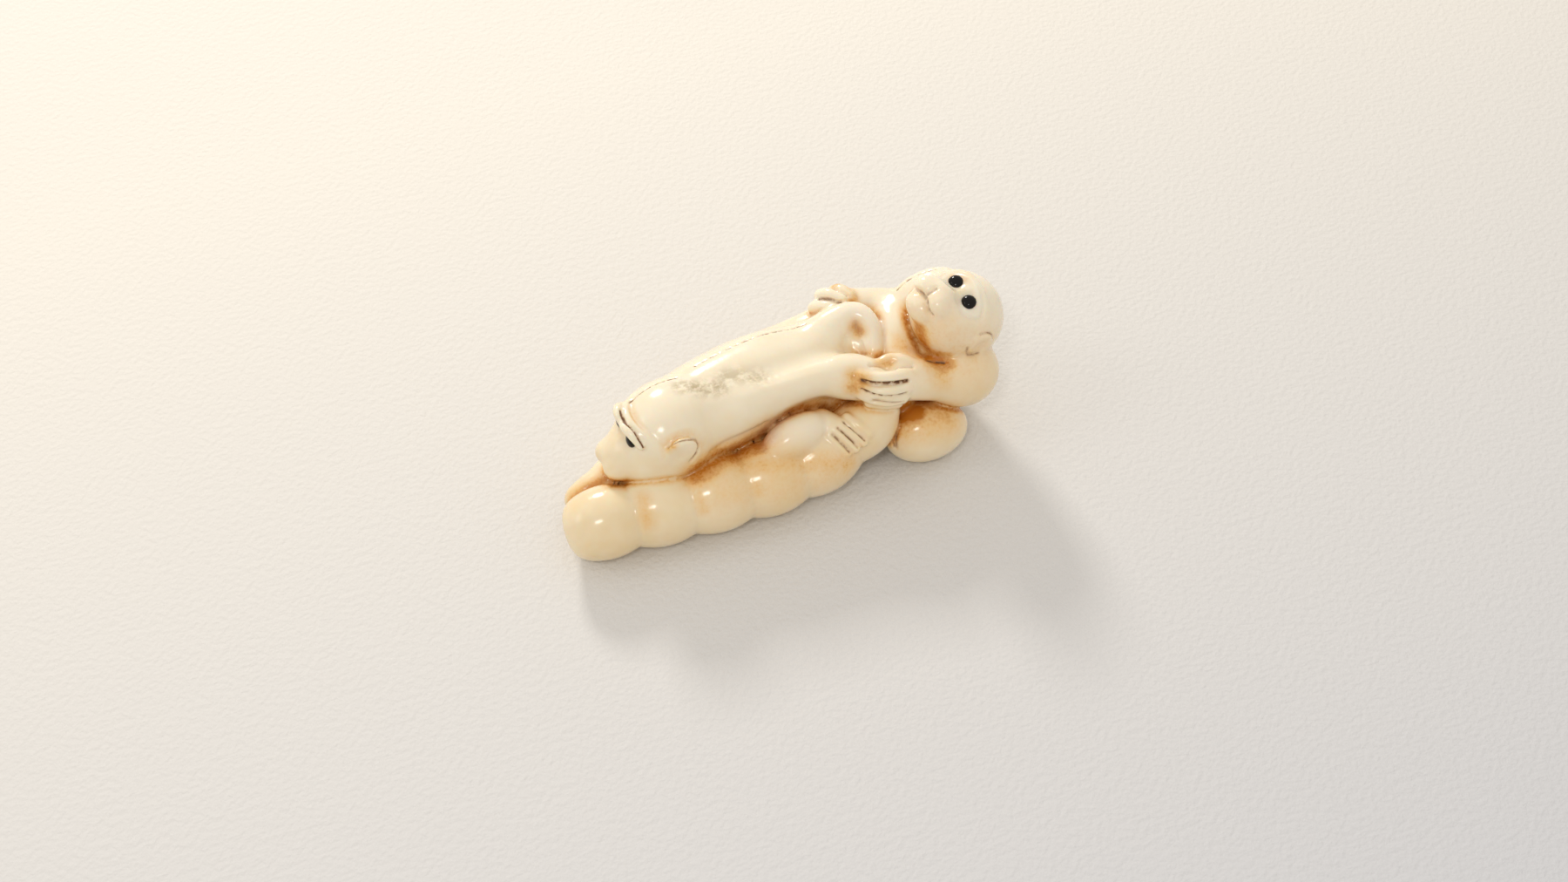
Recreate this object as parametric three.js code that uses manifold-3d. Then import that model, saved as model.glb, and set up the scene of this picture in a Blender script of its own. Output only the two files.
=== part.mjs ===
// Netsuke: two monkeys carved with a pair of knobbly bean pods, in one ivory-coloured piece,
// with four inlaid black eyes. Millimetres, +Z up. The monkeys lie along X: monkey A stretches
// out with its head at the -X end, monkey B crouches at the +X end with its head thrown back.
import * as THREE from 'three';
import { mergeVertices } from 'three/addons/utils/BufferGeometryUtils.js';
import Module from 'manifold-3d';

const wasm = await Module();
wasm.setup();

// ---- driving dimensions -------------------------------------------------------------------
const headRadius = 4.9; // the skull of either monkey
const podRadius = 4.2; // the front pod at its thickest
const podKnobSpacing = 6.1; // from one waist of a pod to the next
const armRadius = 2.3; // a forearm, at its thinnest
const eyeRadius = 0.75;
const eyeGap = 0.3; // clearance left round each inlaid eye
const wornDepth = 0.25; // how far the underside is worn flat
const cordHoleRadius = 1.2; // the two joined holes below, for the cord
const cordHoleSpacing = 8;

// ---- how finely the round forms are faceted -----------------------------------------------
const sides = 11;
const slenderSides = 8;
const capRings = 3;
const limbStep = 0.95; // the rings along a limb, as a share of its radius
const podStep = 0.46; // closer rings, for the knobs

// ---- forms --------------------------------------------------------------------------------

/** A closed solid from a three.js geometry, with its shared vertices merged. */
function solidOf(geometry) {
  const bare = geometry.clone();
  bare.deleteAttribute('normal');
  bare.deleteAttribute('uv');
  const merged = mergeVertices(bare, 1e-4);
  const index = merged.index.array;
  const triangles = [];
  for (let i = 0; i < index.length; i += 3) {
    const [a, b, c] = [index[i], index[i + 1], index[i + 2]];
    if (a !== b && b !== c && c !== a) triangles.push(a, b, c);
  }
  return new wasm.Manifold(
    new wasm.Mesh({
      numProp: 3,
      vertProperties: new Float32Array(merged.attributes.position.array),
      triVerts: new Uint32Array(triangles),
    }),
  );
}

/** A three.js geometry from a solid. */
function geometryOf(solid) {
  const mesh = solid.getMesh();
  const geometry = new THREE.BufferGeometry();
  geometry.setAttribute('position', new THREE.BufferAttribute(mesh.vertProperties, 3));
  geometry.setIndex(new THREE.BufferAttribute(mesh.triVerts, 1));
  geometry.computeVertexNormals();
  return geometry;
}

/** Directions forward, left and up, squared to each other, as a rotation. */
function facing(forward, up) {
  const f = new THREE.Vector3(...forward).normalize();
  const left = new THREE.Vector3(...up).cross(f).normalize();
  const upward = new THREE.Vector3().crossVectors(f, left);
  return new THREE.Matrix4().makeBasis(f, left, upward);
}

const level = facing([1, 0, 0], [0, 0, 1]);

/** An egg-shaped mass: its centre, its three radii, and the way it faces. */
function egg(centre, radii, turn = level, around = sides) {
  const shape = new THREE.SphereGeometry(1, around, Math.round(around * 0.55));
  shape.rotateX(Math.PI / 2);
  shape.scale(...radii);
  shape.applyMatrix4(turn);
  shape.translate(...centre);
  return solidOf(shape);
}

/** A smooth line through [x, y, z, radius] stations, and the radius along it. */
function lineThrough(stations) {
  const points = stations.map(([x, y, z]) => new THREE.Vector3(x, y, z));
  const girths = stations.map((station) => new THREE.Vector3(station[3], 0, 0));
  const path = new THREE.CatmullRomCurve3(points, false, 'catmullrom', 0.5);
  const girth = new THREE.CatmullRomCurve3(girths, false, 'catmullrom', 0.5);
  const radiusAt = (u) => girth.getPoint(path.getUtoTmapping(u)).x;
  return { path, radiusAt };
}

/** A round-ended limb along its stations. knobs(distance) thins it at its waists. */
function limb(stations, around = sides, knobs = () => 0, step = limbStep) {
  const { path, radiusAt } = lineThrough(stations);
  const length = path.getLength();
  const steps = Math.max(2, Math.ceil(length / (step * radiusAt(0.5))));
  const frames = path.computeFrenetFrames(steps, false);
  const shape = new THREE.CapsuleGeometry(1, steps, capRings, around, steps);
  const corners = shape.attributes.position;
  for (let i = 0; i < corners.count; i += 1) {
    const along = corners.getY(i) + steps / 2;
    const station = THREE.MathUtils.clamp(Math.round(along), 0, steps);
    const past = along - THREE.MathUtils.clamp(along, 0, steps);
    const u = station / steps;
    const radius = radiusAt(u) - knobs(u * length);
    const corner = path.getPointAt(u);
    corner.addScaledVector(frames.binormals[station], corners.getX(i) * radius);
    corner.addScaledVector(frames.tangents[station], past * radius);
    corner.addScaledVector(frames.normals[station], corners.getZ(i) * radius);
    corners.setXYZ(i, corner.x, corner.y, corner.z);
  }
  return solidOf(shape);
}

/** Several solids as one. */
function joined(solids) {
  return solids.reduce((whole, next) => whole.add(next));
}

/** Fingers or toes, fanned from one line of knuckles to one line of tips. */
function digits(count, knuckles, tips, radius) {
  const [firstKnuckle, lastKnuckle] = knuckles.map((point) => new THREE.Vector3(...point));
  const [firstTip, lastTip] = tips.map((point) => new THREE.Vector3(...point));
  const fingers = [];
  for (let i = 0; i < count; i += 1) {
    const across = i / (count - 1);
    const knuckle = firstKnuckle.clone().lerp(lastKnuckle, across);
    const tip = firstTip.clone().lerp(lastTip, across);
    const stations = [[...knuckle, radius], [...tip, radius * 0.85]];
    fingers.push(limb(stations, slenderSides));
  }
  return joined(fingers);
}

// ---- the pods -----------------------------------------------------------------------------

/** How much thinner a pod is at a distance along it: nothing on a knob, most at a waist. */
function podWaists(depth, firstWaist) {
  return (distance) => {
    const phase = (Math.PI * (distance - firstWaist)) / podKnobSpacing;
    return depth * (1 - Math.abs(Math.sin(phase)) ** 0.7);
  };
}

/** The long pod in front: a cut-off stub at -X, and a tip that sweeps up at +X. */
function frontPod() {
  const stations = [
    [-23.4, -6.2, 3.9, podRadius * 0.93],
    [-18.0, -6.3, 4.0, podRadius * 0.98],
    [-12.5, -6.6, 4.1, podRadius],
    [-7.0, -6.6, 4.1, podRadius],
    [-1.0, -6.3, 4.1, podRadius * 0.98],
    [3.5, -5.5, 4.8, podRadius * 0.95],
    [7.2, -5.0, 6.2, podRadius * 0.79],
    [9.6, -4.8, 7.7, podRadius * 0.57],
  ];
  const pod = limb(stations, sides + 4, podWaists(0.55, 4.1), podStep);
  const stub = new THREE.BoxGeometry(6, 30, 30);
  stub.translate(-3, 0, 0);
  stub.applyMatrix4(facing([1, -0.25, 0.35], [0, 0, 1]));
  stub.translate(-26.65, -6.0, 4.0);
  return pod.subtract(solidOf(stub));
}

/** The slimmer pod behind it, mostly hidden under the monkeys. */
function backPod() {
  const stations = [
    [-23.6, -1.9, 3.2, 1.9],
    [-21.0, -1.0, 3.4, 2.6],
    [-16.0, 0.6, 3.5, 2.9],
    [-8.0, 2.6, 3.2, 3.1],
    [-2.0, 4.0, 3.2, 3.2],
    [4.0, 4.5, 3.2, 3.0],
  ];
  return limb(stations, sides - 2, podWaists(0.4, 2.6), podStep);
}

// ---- the heads ----------------------------------------------------------------------------

/** One monkey's head, built outwards from the centre of its skull. */
function monkeyHead(centre, forward, up, eyeHeight, ears) {
  const turn = facing(forward, up);
  const at = (ahead, left, above) => {
    const place = new THREE.Vector3(ahead, left, above).applyMatrix4(turn);
    return place.add(new THREE.Vector3(...centre)).toArray();
  };
  const skull = headRadius;
  const masses = [
    egg(at(-0.3, 0, 0.2), [skull, skull, skull * 0.98], turn, sides + 2),
    egg(at(1.5, 0, -2.0), [skull * 0.8, skull * 0.84, skull * 0.61], turn),
    egg(at(3.9, 0, -2.4), [skull * 0.51, skull * 0.53, skull * 0.47], turn),
    egg(at(4.4, 0, -4.0), [skull * 0.35, skull * 0.39, skull * 0.24], turn, slenderSides + 2),
  ];
  const sockets = [];
  const eyes = [];
  for (const side of [1, -1]) {
    const lip = skull * 0.3;
    masses.push(egg(at(4.9, side * 1.1, -2.2), [lip, lip, lip * 0.9], turn, slenderSides + 2));
    const [earAhead, earUp] = side > 0 ? ears.left : ears.right;
    const ear = [skull * 0.35, skull * 0.1, skull * 0.35];
    masses.push(egg(at(earAhead, side * skull * 0.91, earUp), ear, turn, slenderSides + 2));
    const brow = [
      [...at(4.1, side * 0.3, eyeHeight + 1.15), 0.7],
      [...at(3.7, side * 1.7, eyeHeight + 1.3), 0.8],
      [...at(3.3, side * 2.8, eyeHeight + 0.3), 0.7],
    ];
    masses.push(limb(brow, slenderSides));
    const eye = at(4.1, side * 1.42, eyeHeight);
    eyes.push(eye);
    const socket = eyeRadius + eyeGap;
    sockets.push(egg(eye, [socket, socket, socket], turn, slenderSides + 2));
  }
  return { flesh: joined(masses), sockets: joined(sockets), eyes };
}

// ---- monkey A, stretched out along the pods -------------------------------------------------

function monkeyABody() {
  const torso = limb([
    [-12.0, -0.4, 9.2, 4.9],
    [-9.0, 0.6, 9.1, 5.3],
    [-5.1, 1.6, 9.0, 5.5],
    [-1.3, 2.3, 9.0, 5.5],
    [1.8, 2.4, 9.1, 5.2],
    [4.7, 2.3, 9.3, 4.6],
  ], sides + 2);
  const arm = limb([
    [-8.5, -1.2, 10.3, armRadius * 1.48],
    [-5.5, -1.6, 11.2, armRadius * 1.3],
    [-0.4, -1.4, 11.9, armRadius],
    [3.4, -1.4, 12.1, armRadius * 0.96],
    [6.2, -2.1, 11.8, armRadius * 1.1],
    [8.0, -2.8, 11.4, armRadius * 1.04],
  ]);
  const knee = egg([-0.7, -5.3, 7.9], [4.1, 2.3, 2.4], facing([1, 0.2, 0.2], [0, 0, 1]));
  const foot = limb([
    [2.6, -4.4, 8.0, 1.6],
    [3.6, -5.7, 7.8, 1.7],
    [4.7, -6.8, 7.1, 1.5],
  ], slenderSides + 2);
  const toes = digits(4, [[2.8, -6.6, 8.2], [5.2, -5.3, 8.8]], [[4.1, -8.3, 6.9], [6.9, -7.4, 7.9]], 0.62);
  const raisedLeg = limb([
    [3.8, 3.0, 10.8, 3.0],
    [6.6, 3.9, 12.6, 2.3],
    [8.9, 4.3, 13.7, 1.55],
    [10.2, 3.6, 13.9, 1.25],
    [10.7, 2.0, 13.2, 1.2],
    [10.3, 0.2, 12.0, 1.2],
  ], slenderSides + 3, () => 0, 1.1);
  const hip = egg([9.2, 4.6, 9.6], [3.2, 2.8, 3.4], level, slenderSides + 2);
  const rump = egg([8.9, 2.0, 11.2], [2.4, 2.2, 2.1], level, slenderSides + 2);
  const farArm = limb([
    [-9.0, 3.2, 9.2, armRadius * 1.4],
    [-4.0, 5.9, 8.8, armRadius * 1.15],
    [2.0, 6.7, 9.2, armRadius],
    [6.6, 6.8, 10.2, armRadius],
  ], sides - 4);
  const farKnee = egg([0.6, 6.4, 5.8], [3.9, 2.2, 2.6], facing([1, 0.15, 0.2], [0, 0, 1]), sides - 4);
  const seat = egg([6.5, 2.2, 6.6], [5.2, 5.0, 4.8]);
  return joined([torso, arm, knee, foot, toes, raisedLeg, hip, rump, farArm, farKnee, seat]);
}

// ---- monkey B, crouched at the other end ----------------------------------------------------

function monkeyBBody() {
  const trunk = egg([17.6, 1.4, 7.2], [5.2, 5.2, 6.4]);
  const chest = limb([
    [13.6, 4.8, 11.6, 2.0],
    [13.6, 2.4, 12.0, 2.1],
    [13.0, -0.6, 11.2, 2.1],
  ]);
  const shoulder = egg([19.0, -3.4, 9.2], [4.1, 3.8, 4.0]);
  const nearArm = limb([
    [19.5, -3.7, 9.2, armRadius * 1.48],
    [15.6, -4.2, 10.0, armRadius * 1.04],
    [12.4, -3.9, 10.9, armRadius * 1.04],
    [10.4, -3.9, 11.2, armRadius],
  ]);
  const nearLeg = egg([14.4, -5.8, 3.6], [4.7, 3.2, 3.5]);
  const farArm = limb([
    [18.0, 4.5, 9.0, 3.2],
    [15.0, 6.0, 11.0, 2.2],
    [12.0, 6.8, 11.7, 2.0],
    [8.3, 7.0, 12.0, 2.5],
  ]);
  const farShoulder = limb([
    [15.6, 4.8, 11.6, 2.2],
    [17.6, 4.9, 13.2, 2.4],
    [20.0, 4.2, 13.8, 2.6],
  ]);
  const farLeg = egg([14.0, 5.8, 3.7], [4.6, 3.2, 3.5]);
  const lap = egg([11.8, 0.6, 6.4], [3.6, 5.2, 5.6]);
  return joined([trunk, chest, shoulder, nearArm, nearLeg, farArm, farShoulder, farLeg, lap]);
}

// ---- the carving --------------------------------------------------------------------------

/** The two holes underneath, joined inside, that the cord is threaded through. */
function cordChannel() {
  const reach = cordHoleSpacing / 2;
  const below = -2;
  const deep = 3.2;
  const middle = [-4, 3.5];
  const slant = 0.2;
  const stations = [
    [-reach * 1.2, below],
    [-reach, deep * 0.55],
    [0, deep],
    [reach, deep * 0.55],
    [reach * 1.2, below],
  ].map(([along, height]) => {
    const [x, y] = middle;
    return [x + along, y + along * slant, height, cordHoleRadius];
  });
  return limb(stations, slenderSides, () => 0, 1.2);
}

/** Everything lower than the worn underside. */
function belowUnderside() {
  const ground = new THREE.BoxGeometry(80, 60, 20);
  ground.translate(0, 0, wornDepth - 10);
  return solidOf(ground);
}

const headA = monkeyHead([-14.5, -1.4, 9.7], [-0.977, -0.07, 0.18], [0, 0, 1], 1.8, {
  left: [-0.3, 2.0],
  right: [0.2, 0.4],
});
const headB = monkeyHead([19.8, 0.0, 14.3], [-0.22, -0.18, 0.96], [0.97, 0.08, 0.24], 0.95, {
  left: [0.1, 0.3],
  right: [0.1, 0.3],
});

const carving = joined([
  frontPod(),
  backPod(),
  headA.flesh,
  monkeyABody(),
  headB.flesh,
  monkeyBBody(),
])
  .subtract(headA.sockets)
  .subtract(headB.sockets)
  .subtract(cordChannel())
  .subtract(belowUnderside());

// ---- the scene graph ----------------------------------------------------------------------

const ivory = new THREE.MeshStandardMaterial({ color: 0xf1e2c6, roughness: 0.25, metalness: 0 });
const eyeBlack = new THREE.MeshStandardMaterial({ color: 0x0a0908, roughness: 0.12, metalness: 0 });

const netsuke = new THREE.Group();

const body = new THREE.Mesh(geometryOf(carving), ivory);
body.name = 'carved_body';
netsuke.add(body);

const eyeNames = ['eye_A_left', 'eye_A_right', 'eye_B_left', 'eye_B_right'];
[...headA.eyes, ...headB.eyes].forEach((centre, i) => {
  const ball = new THREE.SphereGeometry(eyeRadius, slenderSides, 8);
  const eye = new THREE.Mesh(ball, eyeBlack.clone());
  eye.name = eyeNames[i];
  eye.position.set(...centre);
  netsuke.add(eye);
});

// The origin is the bottom centre of the box round the carving.
body.geometry.computeBoundingBox();
const box = body.geometry.boundingBox;
const middle = box.getCenter(new THREE.Vector3());
netsuke.position.set(-middle.x, -middle.y, -box.min.z);

export default netsuke;
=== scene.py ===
import bpy
import numpy as np
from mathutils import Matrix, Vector


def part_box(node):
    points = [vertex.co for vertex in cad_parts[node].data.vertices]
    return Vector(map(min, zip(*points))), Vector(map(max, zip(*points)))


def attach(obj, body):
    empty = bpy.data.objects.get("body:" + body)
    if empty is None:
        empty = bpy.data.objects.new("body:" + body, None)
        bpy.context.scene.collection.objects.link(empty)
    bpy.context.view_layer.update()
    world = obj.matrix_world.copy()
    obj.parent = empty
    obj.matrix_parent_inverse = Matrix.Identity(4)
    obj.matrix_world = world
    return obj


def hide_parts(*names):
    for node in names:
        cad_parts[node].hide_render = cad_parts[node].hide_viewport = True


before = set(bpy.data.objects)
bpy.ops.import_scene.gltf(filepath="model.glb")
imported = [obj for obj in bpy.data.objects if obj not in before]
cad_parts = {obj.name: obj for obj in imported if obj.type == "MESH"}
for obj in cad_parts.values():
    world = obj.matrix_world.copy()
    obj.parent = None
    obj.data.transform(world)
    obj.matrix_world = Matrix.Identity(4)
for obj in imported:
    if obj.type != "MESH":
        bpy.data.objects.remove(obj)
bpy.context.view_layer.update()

# ==== The carving ==========================================================================
# Two monkeys lying on a pair of knobbly bean pods, cut as one piece in ivory or cast in a
# material made to look like it, polished all over, stained amber in its hollows and dark in
# its cut lines. It is modelled like clay: rounded masses pressed together, then cut.
# Lengths are in millimetres until the mesh is made.

head_radius = 4.9
pod_radius = 4.2
pod_knob_spacing = 6.1
arm_radius = 2.3
toe_radius = 0.62
finger_radius = 0.82
far_finger_radius = 0.85
rim_half_width = 2.95  # of the oval rim round both eyes
rim_half_height = 1.65
worn_level = 0.25  # the height that the underside is worn flat at
clay_step = 0.3  # the grid that the first surface is taken from
fine_edge = 0.19  # the longest mesh edge on faces, hands and feet
out_of_reach = 6.0  # the distance that stands for anything further away


def blend(a, b, softness):
    """Press two masses together with a rounded joint."""
    overlap = np.maximum(softness - np.abs(a - b), 0) / softness
    return np.minimum(a, b) - overlap * overlap * softness * 0.25


def cut(a, b, softness):
    """Take mass b away from mass a, with a rounded edge."""
    return -blend(-a, b, softness)


def facing(forward, up=(0, 0, 1)):
    """Rows forward, left and up, squared to each other."""
    forward = np.array(forward, float) / np.linalg.norm(forward)
    left = np.cross(up, forward)
    left /= np.linalg.norm(left)
    return np.array([forward, left, np.cross(forward, left)])


def near(points, low, high, reach=3.0):
    """Which points are within reach of a box."""
    inside = np.all((points > np.asarray(low) - reach) & (points < np.asarray(high) + reach), axis=1)
    return np.nonzero(inside)[0]


def egg(points, centre, radii, turn=None):
    """Distance to an egg-shaped mass."""
    centre = np.asarray(centre, np.float32)
    radii = np.asarray(radii, np.float32)
    where = near(points, centre - radii.max(), centre + radii.max())
    offset = points[where] - centre
    if turn is not None:
        offset = offset @ np.asarray(turn, np.float32).T
    level = np.linalg.norm(offset / radii, axis=1) + 1e-9
    slope = np.linalg.norm(offset / radii**2, axis=1) + 1e-9
    distance = np.full(len(points), out_of_reach, np.float32)
    distance[where] = level * (level - 1) / slope
    return distance


def smooth_line(stations, steps=6):
    """A smooth line through stations of any number of columns."""
    knots = np.asarray(stations, float)
    knots = np.vstack([2 * knots[0] - knots[1], knots, 2 * knots[-1] - knots[-2]])
    t = np.linspace(0, 1, steps, endpoint=False)[:, None]
    spans = []
    for a, b, c, d in zip(knots[:-3], knots[1:-2], knots[2:-1], knots[3:]):
        bend = (2 * a - 5 * b + 4 * c - d) * t**2 + (3 * b - a - 3 * c + d) * t**3
        spans.append(0.5 * (2 * b + (c - a) * t + bend))
    return np.vstack(spans + [knots[-2][None]])


def limb(points, stations, steps=6, knobs=None):
    """Distance to a round-ended limb through (x, y, z, radius) stations."""
    line = smooth_line(stations, steps).astype(np.float32)
    if knobs is not None:
        run = np.linalg.norm(np.diff(line[:, :3], axis=0), axis=1)
        line[:, 3] -= knobs(np.concatenate([[0], np.cumsum(run)]))
    fat = line[:, 3].max()
    where = near(points, line[:, :3].min(0) - fat, line[:, :3].max(0) + fat)
    spots = points[where]
    closest = np.full(len(spots), out_of_reach, np.float32)
    for a, b in zip(line[:-1], line[1:]):
        along = b[:3] - a[:3]
        offset = spots - a[:3]
        t = np.clip(offset @ along / max(along @ along, 1e-9), 0, 1)
        gap = np.linalg.norm(offset - t[:, None] * along, axis=1)
        np.minimum(closest, gap - (a[3] + t * (b[3] - a[3])), out=closest)
    distance = np.full(len(points), out_of_reach, np.float32)
    distance[where] = closest
    return distance


def waists(depth, first):
    """How much thinner a pod is along its length: nothing on a knob, most at a waist."""

    def thinner(run):
        return depth * (1 - np.abs(np.sin(np.pi * (run - first) / pod_knob_spacing)) ** 1.6)

    return thinner


def bean_pods(points):
    front = limb(points, [
        (-23.4, -6.2, 3.9, pod_radius * 0.93),
        (-18.0, -6.3, 4.0, pod_radius * 0.98),
        (-12.5, -6.6, 4.1, pod_radius),
        (-7.0, -6.6, 4.1, pod_radius),
        (-1.0, -6.3, 4.1, pod_radius * 0.98),
        (3.5, -5.5, 4.8, pod_radius * 0.95),
        (7.2, -5.0, 6.2, pod_radius * 0.79),
        (9.6, -4.8, 7.7, pod_radius * 0.57),
    ], 12, waists(0.7, 4.1))
    stub_end, _, _ = facing((1, -0.25, 0.35))
    beyond = ((points - (-26.65, -6.0, 4.0)) @ stub_end).astype(np.float32)
    front = cut(front, beyond, 0.8)
    back = limb(points, [
        (-23.6, -1.9, 3.2, 1.9),
        (-21.0, -1.0, 3.4, 2.6),
        (-16.0, 0.6, 3.5, 2.9),
        (-8.0, 2.6, 3.2, 3.1),
        (-2.0, 4.0, 3.2, 3.2),
        (4.0, 4.5, 3.2, 3.0),
    ], 8, waists(0.4, 2.6))
    return blend(front, back, 0.4)


class Head:
    """Where one monkey's head is, and places on it: ahead, left and above its skull's centre."""

    def __init__(self, centre, forward, up, eye_height, brow, muzzle_shift, ears):
        self.centre = np.array(centre)
        self.turn = facing(forward, up)
        self.eye_height = eye_height
        self.brow = brow
        self.muzzle_shift = muzzle_shift
        self.ears = ears

    def at(self, ahead, left, above):
        return self.centre + np.array([ahead, left, above]) @ self.turn


head_a = Head(
    centre=(-14.5, -1.4, 9.7),
    forward=(-0.977, -0.07, 0.18),
    up=(0, 0, 1),
    eye_height=1.8,
    brow=0.5,
    muzzle_shift=(0, 0),
    ears=((-0.3, 2.0), (0.2, 0.4)),
)
head_b = Head(
    centre=(19.8, 0.0, 14.3),
    forward=(-0.22, -0.18, 0.96),
    up=(0.97, 0.08, 0.24),
    eye_height=0.95,
    brow=0,
    muzzle_shift=(-0.65, 0.2),
    ears=((0.1, 0.3), (0.1, 0.3)),
)


def spectacle_ridge(points, head):
    """The raised rim that runs round both eyes, pulled back at its sides."""
    centre = head.at(4.0, 0, head.eye_height + 0.05)
    half_width = rim_half_width
    half_height = rim_half_height
    thickness = 0.38
    where = near(points, centre - half_width, centre + half_width)
    local = (points[where] - centre) @ head.turn.T
    ahead = local[:, 0] + 1.2 * (local[:, 1] / half_width) ** 2
    ring = np.hypot(local[:, 1] / half_width, local[:, 2] / half_height)
    gap = (ring - 1) * half_height
    distance = np.full(len(points), out_of_reach, np.float32)
    distance[where] = np.hypot(gap, ahead) - thickness
    return distance


def monkey_head(points, head):
    skull = head_radius
    turn = head.turn
    mass = egg(points, head.at(-0.3, 0, 0.2), (skull, skull, skull * 0.98), turn)
    jaw = egg(points, head.at(1.5, 0, -2.0), (skull * 0.8, skull * 0.84, skull * 0.61), turn)
    mass = blend(mass, jaw, 1.5)
    aside, lift = head.muzzle_shift
    mass = blend(mass, egg(points, head.at(3.8, aside, -2.0 + lift), (2.5, 2.4, 2.2), turn), 1.2)
    for side in (1, -1):
        lip = egg(points, head.at(4.8, side * 1.2 + aside, -2.4 + lift), (1.6, 1.5, 1.45), turn)
        mass = blend(mass, lip, 0.4)
    chin = egg(points, head.at(4.1, aside, -4.1 + lift), (1.6, 1.9, 1.2), turn)
    mass = blend(mass, chin, 0.45)
    for side in (1, -1):
        hollow = egg(points, head.at(5.2, side * 1.45, head.eye_height), (1.2, 1.3, 1.1), turn)
        mass = cut(mass, hollow, 0.9)
    mass = blend(mass, spectacle_ridge(points, head), 0.7)
    if not head.brow:
        return with_ears(points, mass, head)
    brow = [
        (3.5, -2.9, 0.5),
        (4.3, -2.0, 1.35),
        (4.65, -1.0, 1.5),
        (4.5, 0, 1.25),
        (4.65, 1.0, 1.5),
        (4.3, 2.0, 1.35),
        (3.5, 2.9, 0.5),
    ]
    stations = []
    for ahead, left, above in brow:
        stations.append((*head.at(ahead, left, above + head.eye_height), head.brow))
    mass = blend(mass, limb(points, stations, 4), 0.35)
    return with_ears(points, mass, head)


def with_ears(points, mass, head):
    turn = head.turn
    for side, (ear_ahead, ear_up) in zip((1, -1), head.ears):
        flap = egg(points, head.at(ear_ahead, side * 4.45, ear_up), (1.7, 0.5, 1.7), turn)
        mass = blend(mass, flap, 0.4)
        bowl = egg(points, head.at(ear_ahead + 0.3, side * 5.15, ear_up), (0.95, 0.4, 0.95), turn)
        mass = cut(mass, bowl, 0.4)
    return mass


def digits(points, mass, radius, lines, softness=0.28):
    """Press fingers or toes onto a mass, side by side, so that creases stay between them."""
    for line in lines:
        taper = np.linspace(1.0, 0.85, len(line)) * radius
        finger = limb(points, [(*spot, girth) for spot, girth in zip(line, taper)])
        mass = blend(mass, finger, softness)
    return mass


# The shapes that cut lines follow later have names of their own.
torso_line = [
    (-12.0, -0.4, 9.2, 4.9),
    (-9.0, 0.6, 9.1, 5.3),
    (-5.1, 1.6, 9.0, 5.5),
    (-1.3, 2.3, 9.0, 5.5),
    (1.8, 2.4, 9.1, 5.2),
    (4.7, 2.3, 9.3, 4.6),
]
far_shoulder_line = [
    (15.6, 4.8, 11.6, 2.2),
    (17.6, 4.9, 13.2, 2.4),
    (20.0, 4.2, 13.8, 2.6),
    (21.4, 3.4, 11.4, 2.9),
]
toes = [
    [(5.2, -5.3, 8.8), (6.1, -6.5, 8.5), (6.9, -7.4, 7.9)],
    [(4.3, -5.8, 8.8), (5.2, -7.0, 8.3), (6.1, -7.9, 7.4)],
    [(3.5, -6.2, 8.6), (4.3, -7.3, 8.0), (5.1, -8.2, 7.1)],
    [(2.8, -6.6, 8.2), (3.4, -7.5, 7.7), (4.1, -8.3, 6.9)],
]
near_fingers = [
    [(12.2, -4.7, 12.4), (10.3, -4.9, 12.9), (8.6, -4.5, 13.0), (7.2, -3.9, 13.2)],
    [(11.6, -5.6, 11.6), (9.8, -5.8, 11.9), (8.2, -5.2, 12.0), (6.9, -4.5, 12.5)],
    [(11.2, -5.8, 10.5), (9.6, -5.9, 10.8), (8.2, -5.4, 11.0), (7.0, -4.8, 11.6)],
    [(10.8, -5.4, 9.5), (9.3, -5.5, 9.9), (7.9, -5.1, 10.2)],
]
near_thumb = [(13.6, -4.0, 12.2), (12.4, -3.2, 12.9), (11.0, -2.6, 13.0), (9.9, -2.7, 12.9)]
far_fingers = [
    [(8.4, 5.6, 13.6), (7.2, 6.4, 13.6), (6.2, 7.4, 12.9)],
    [(8.9, 6.4, 14.1), (7.9, 7.6, 14.1), (7.4, 8.6, 13.3)],
    [(10.0, 6.8, 13.8), (9.4, 7.9, 13.9), (9.0, 8.8, 13.1)],
]


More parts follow.
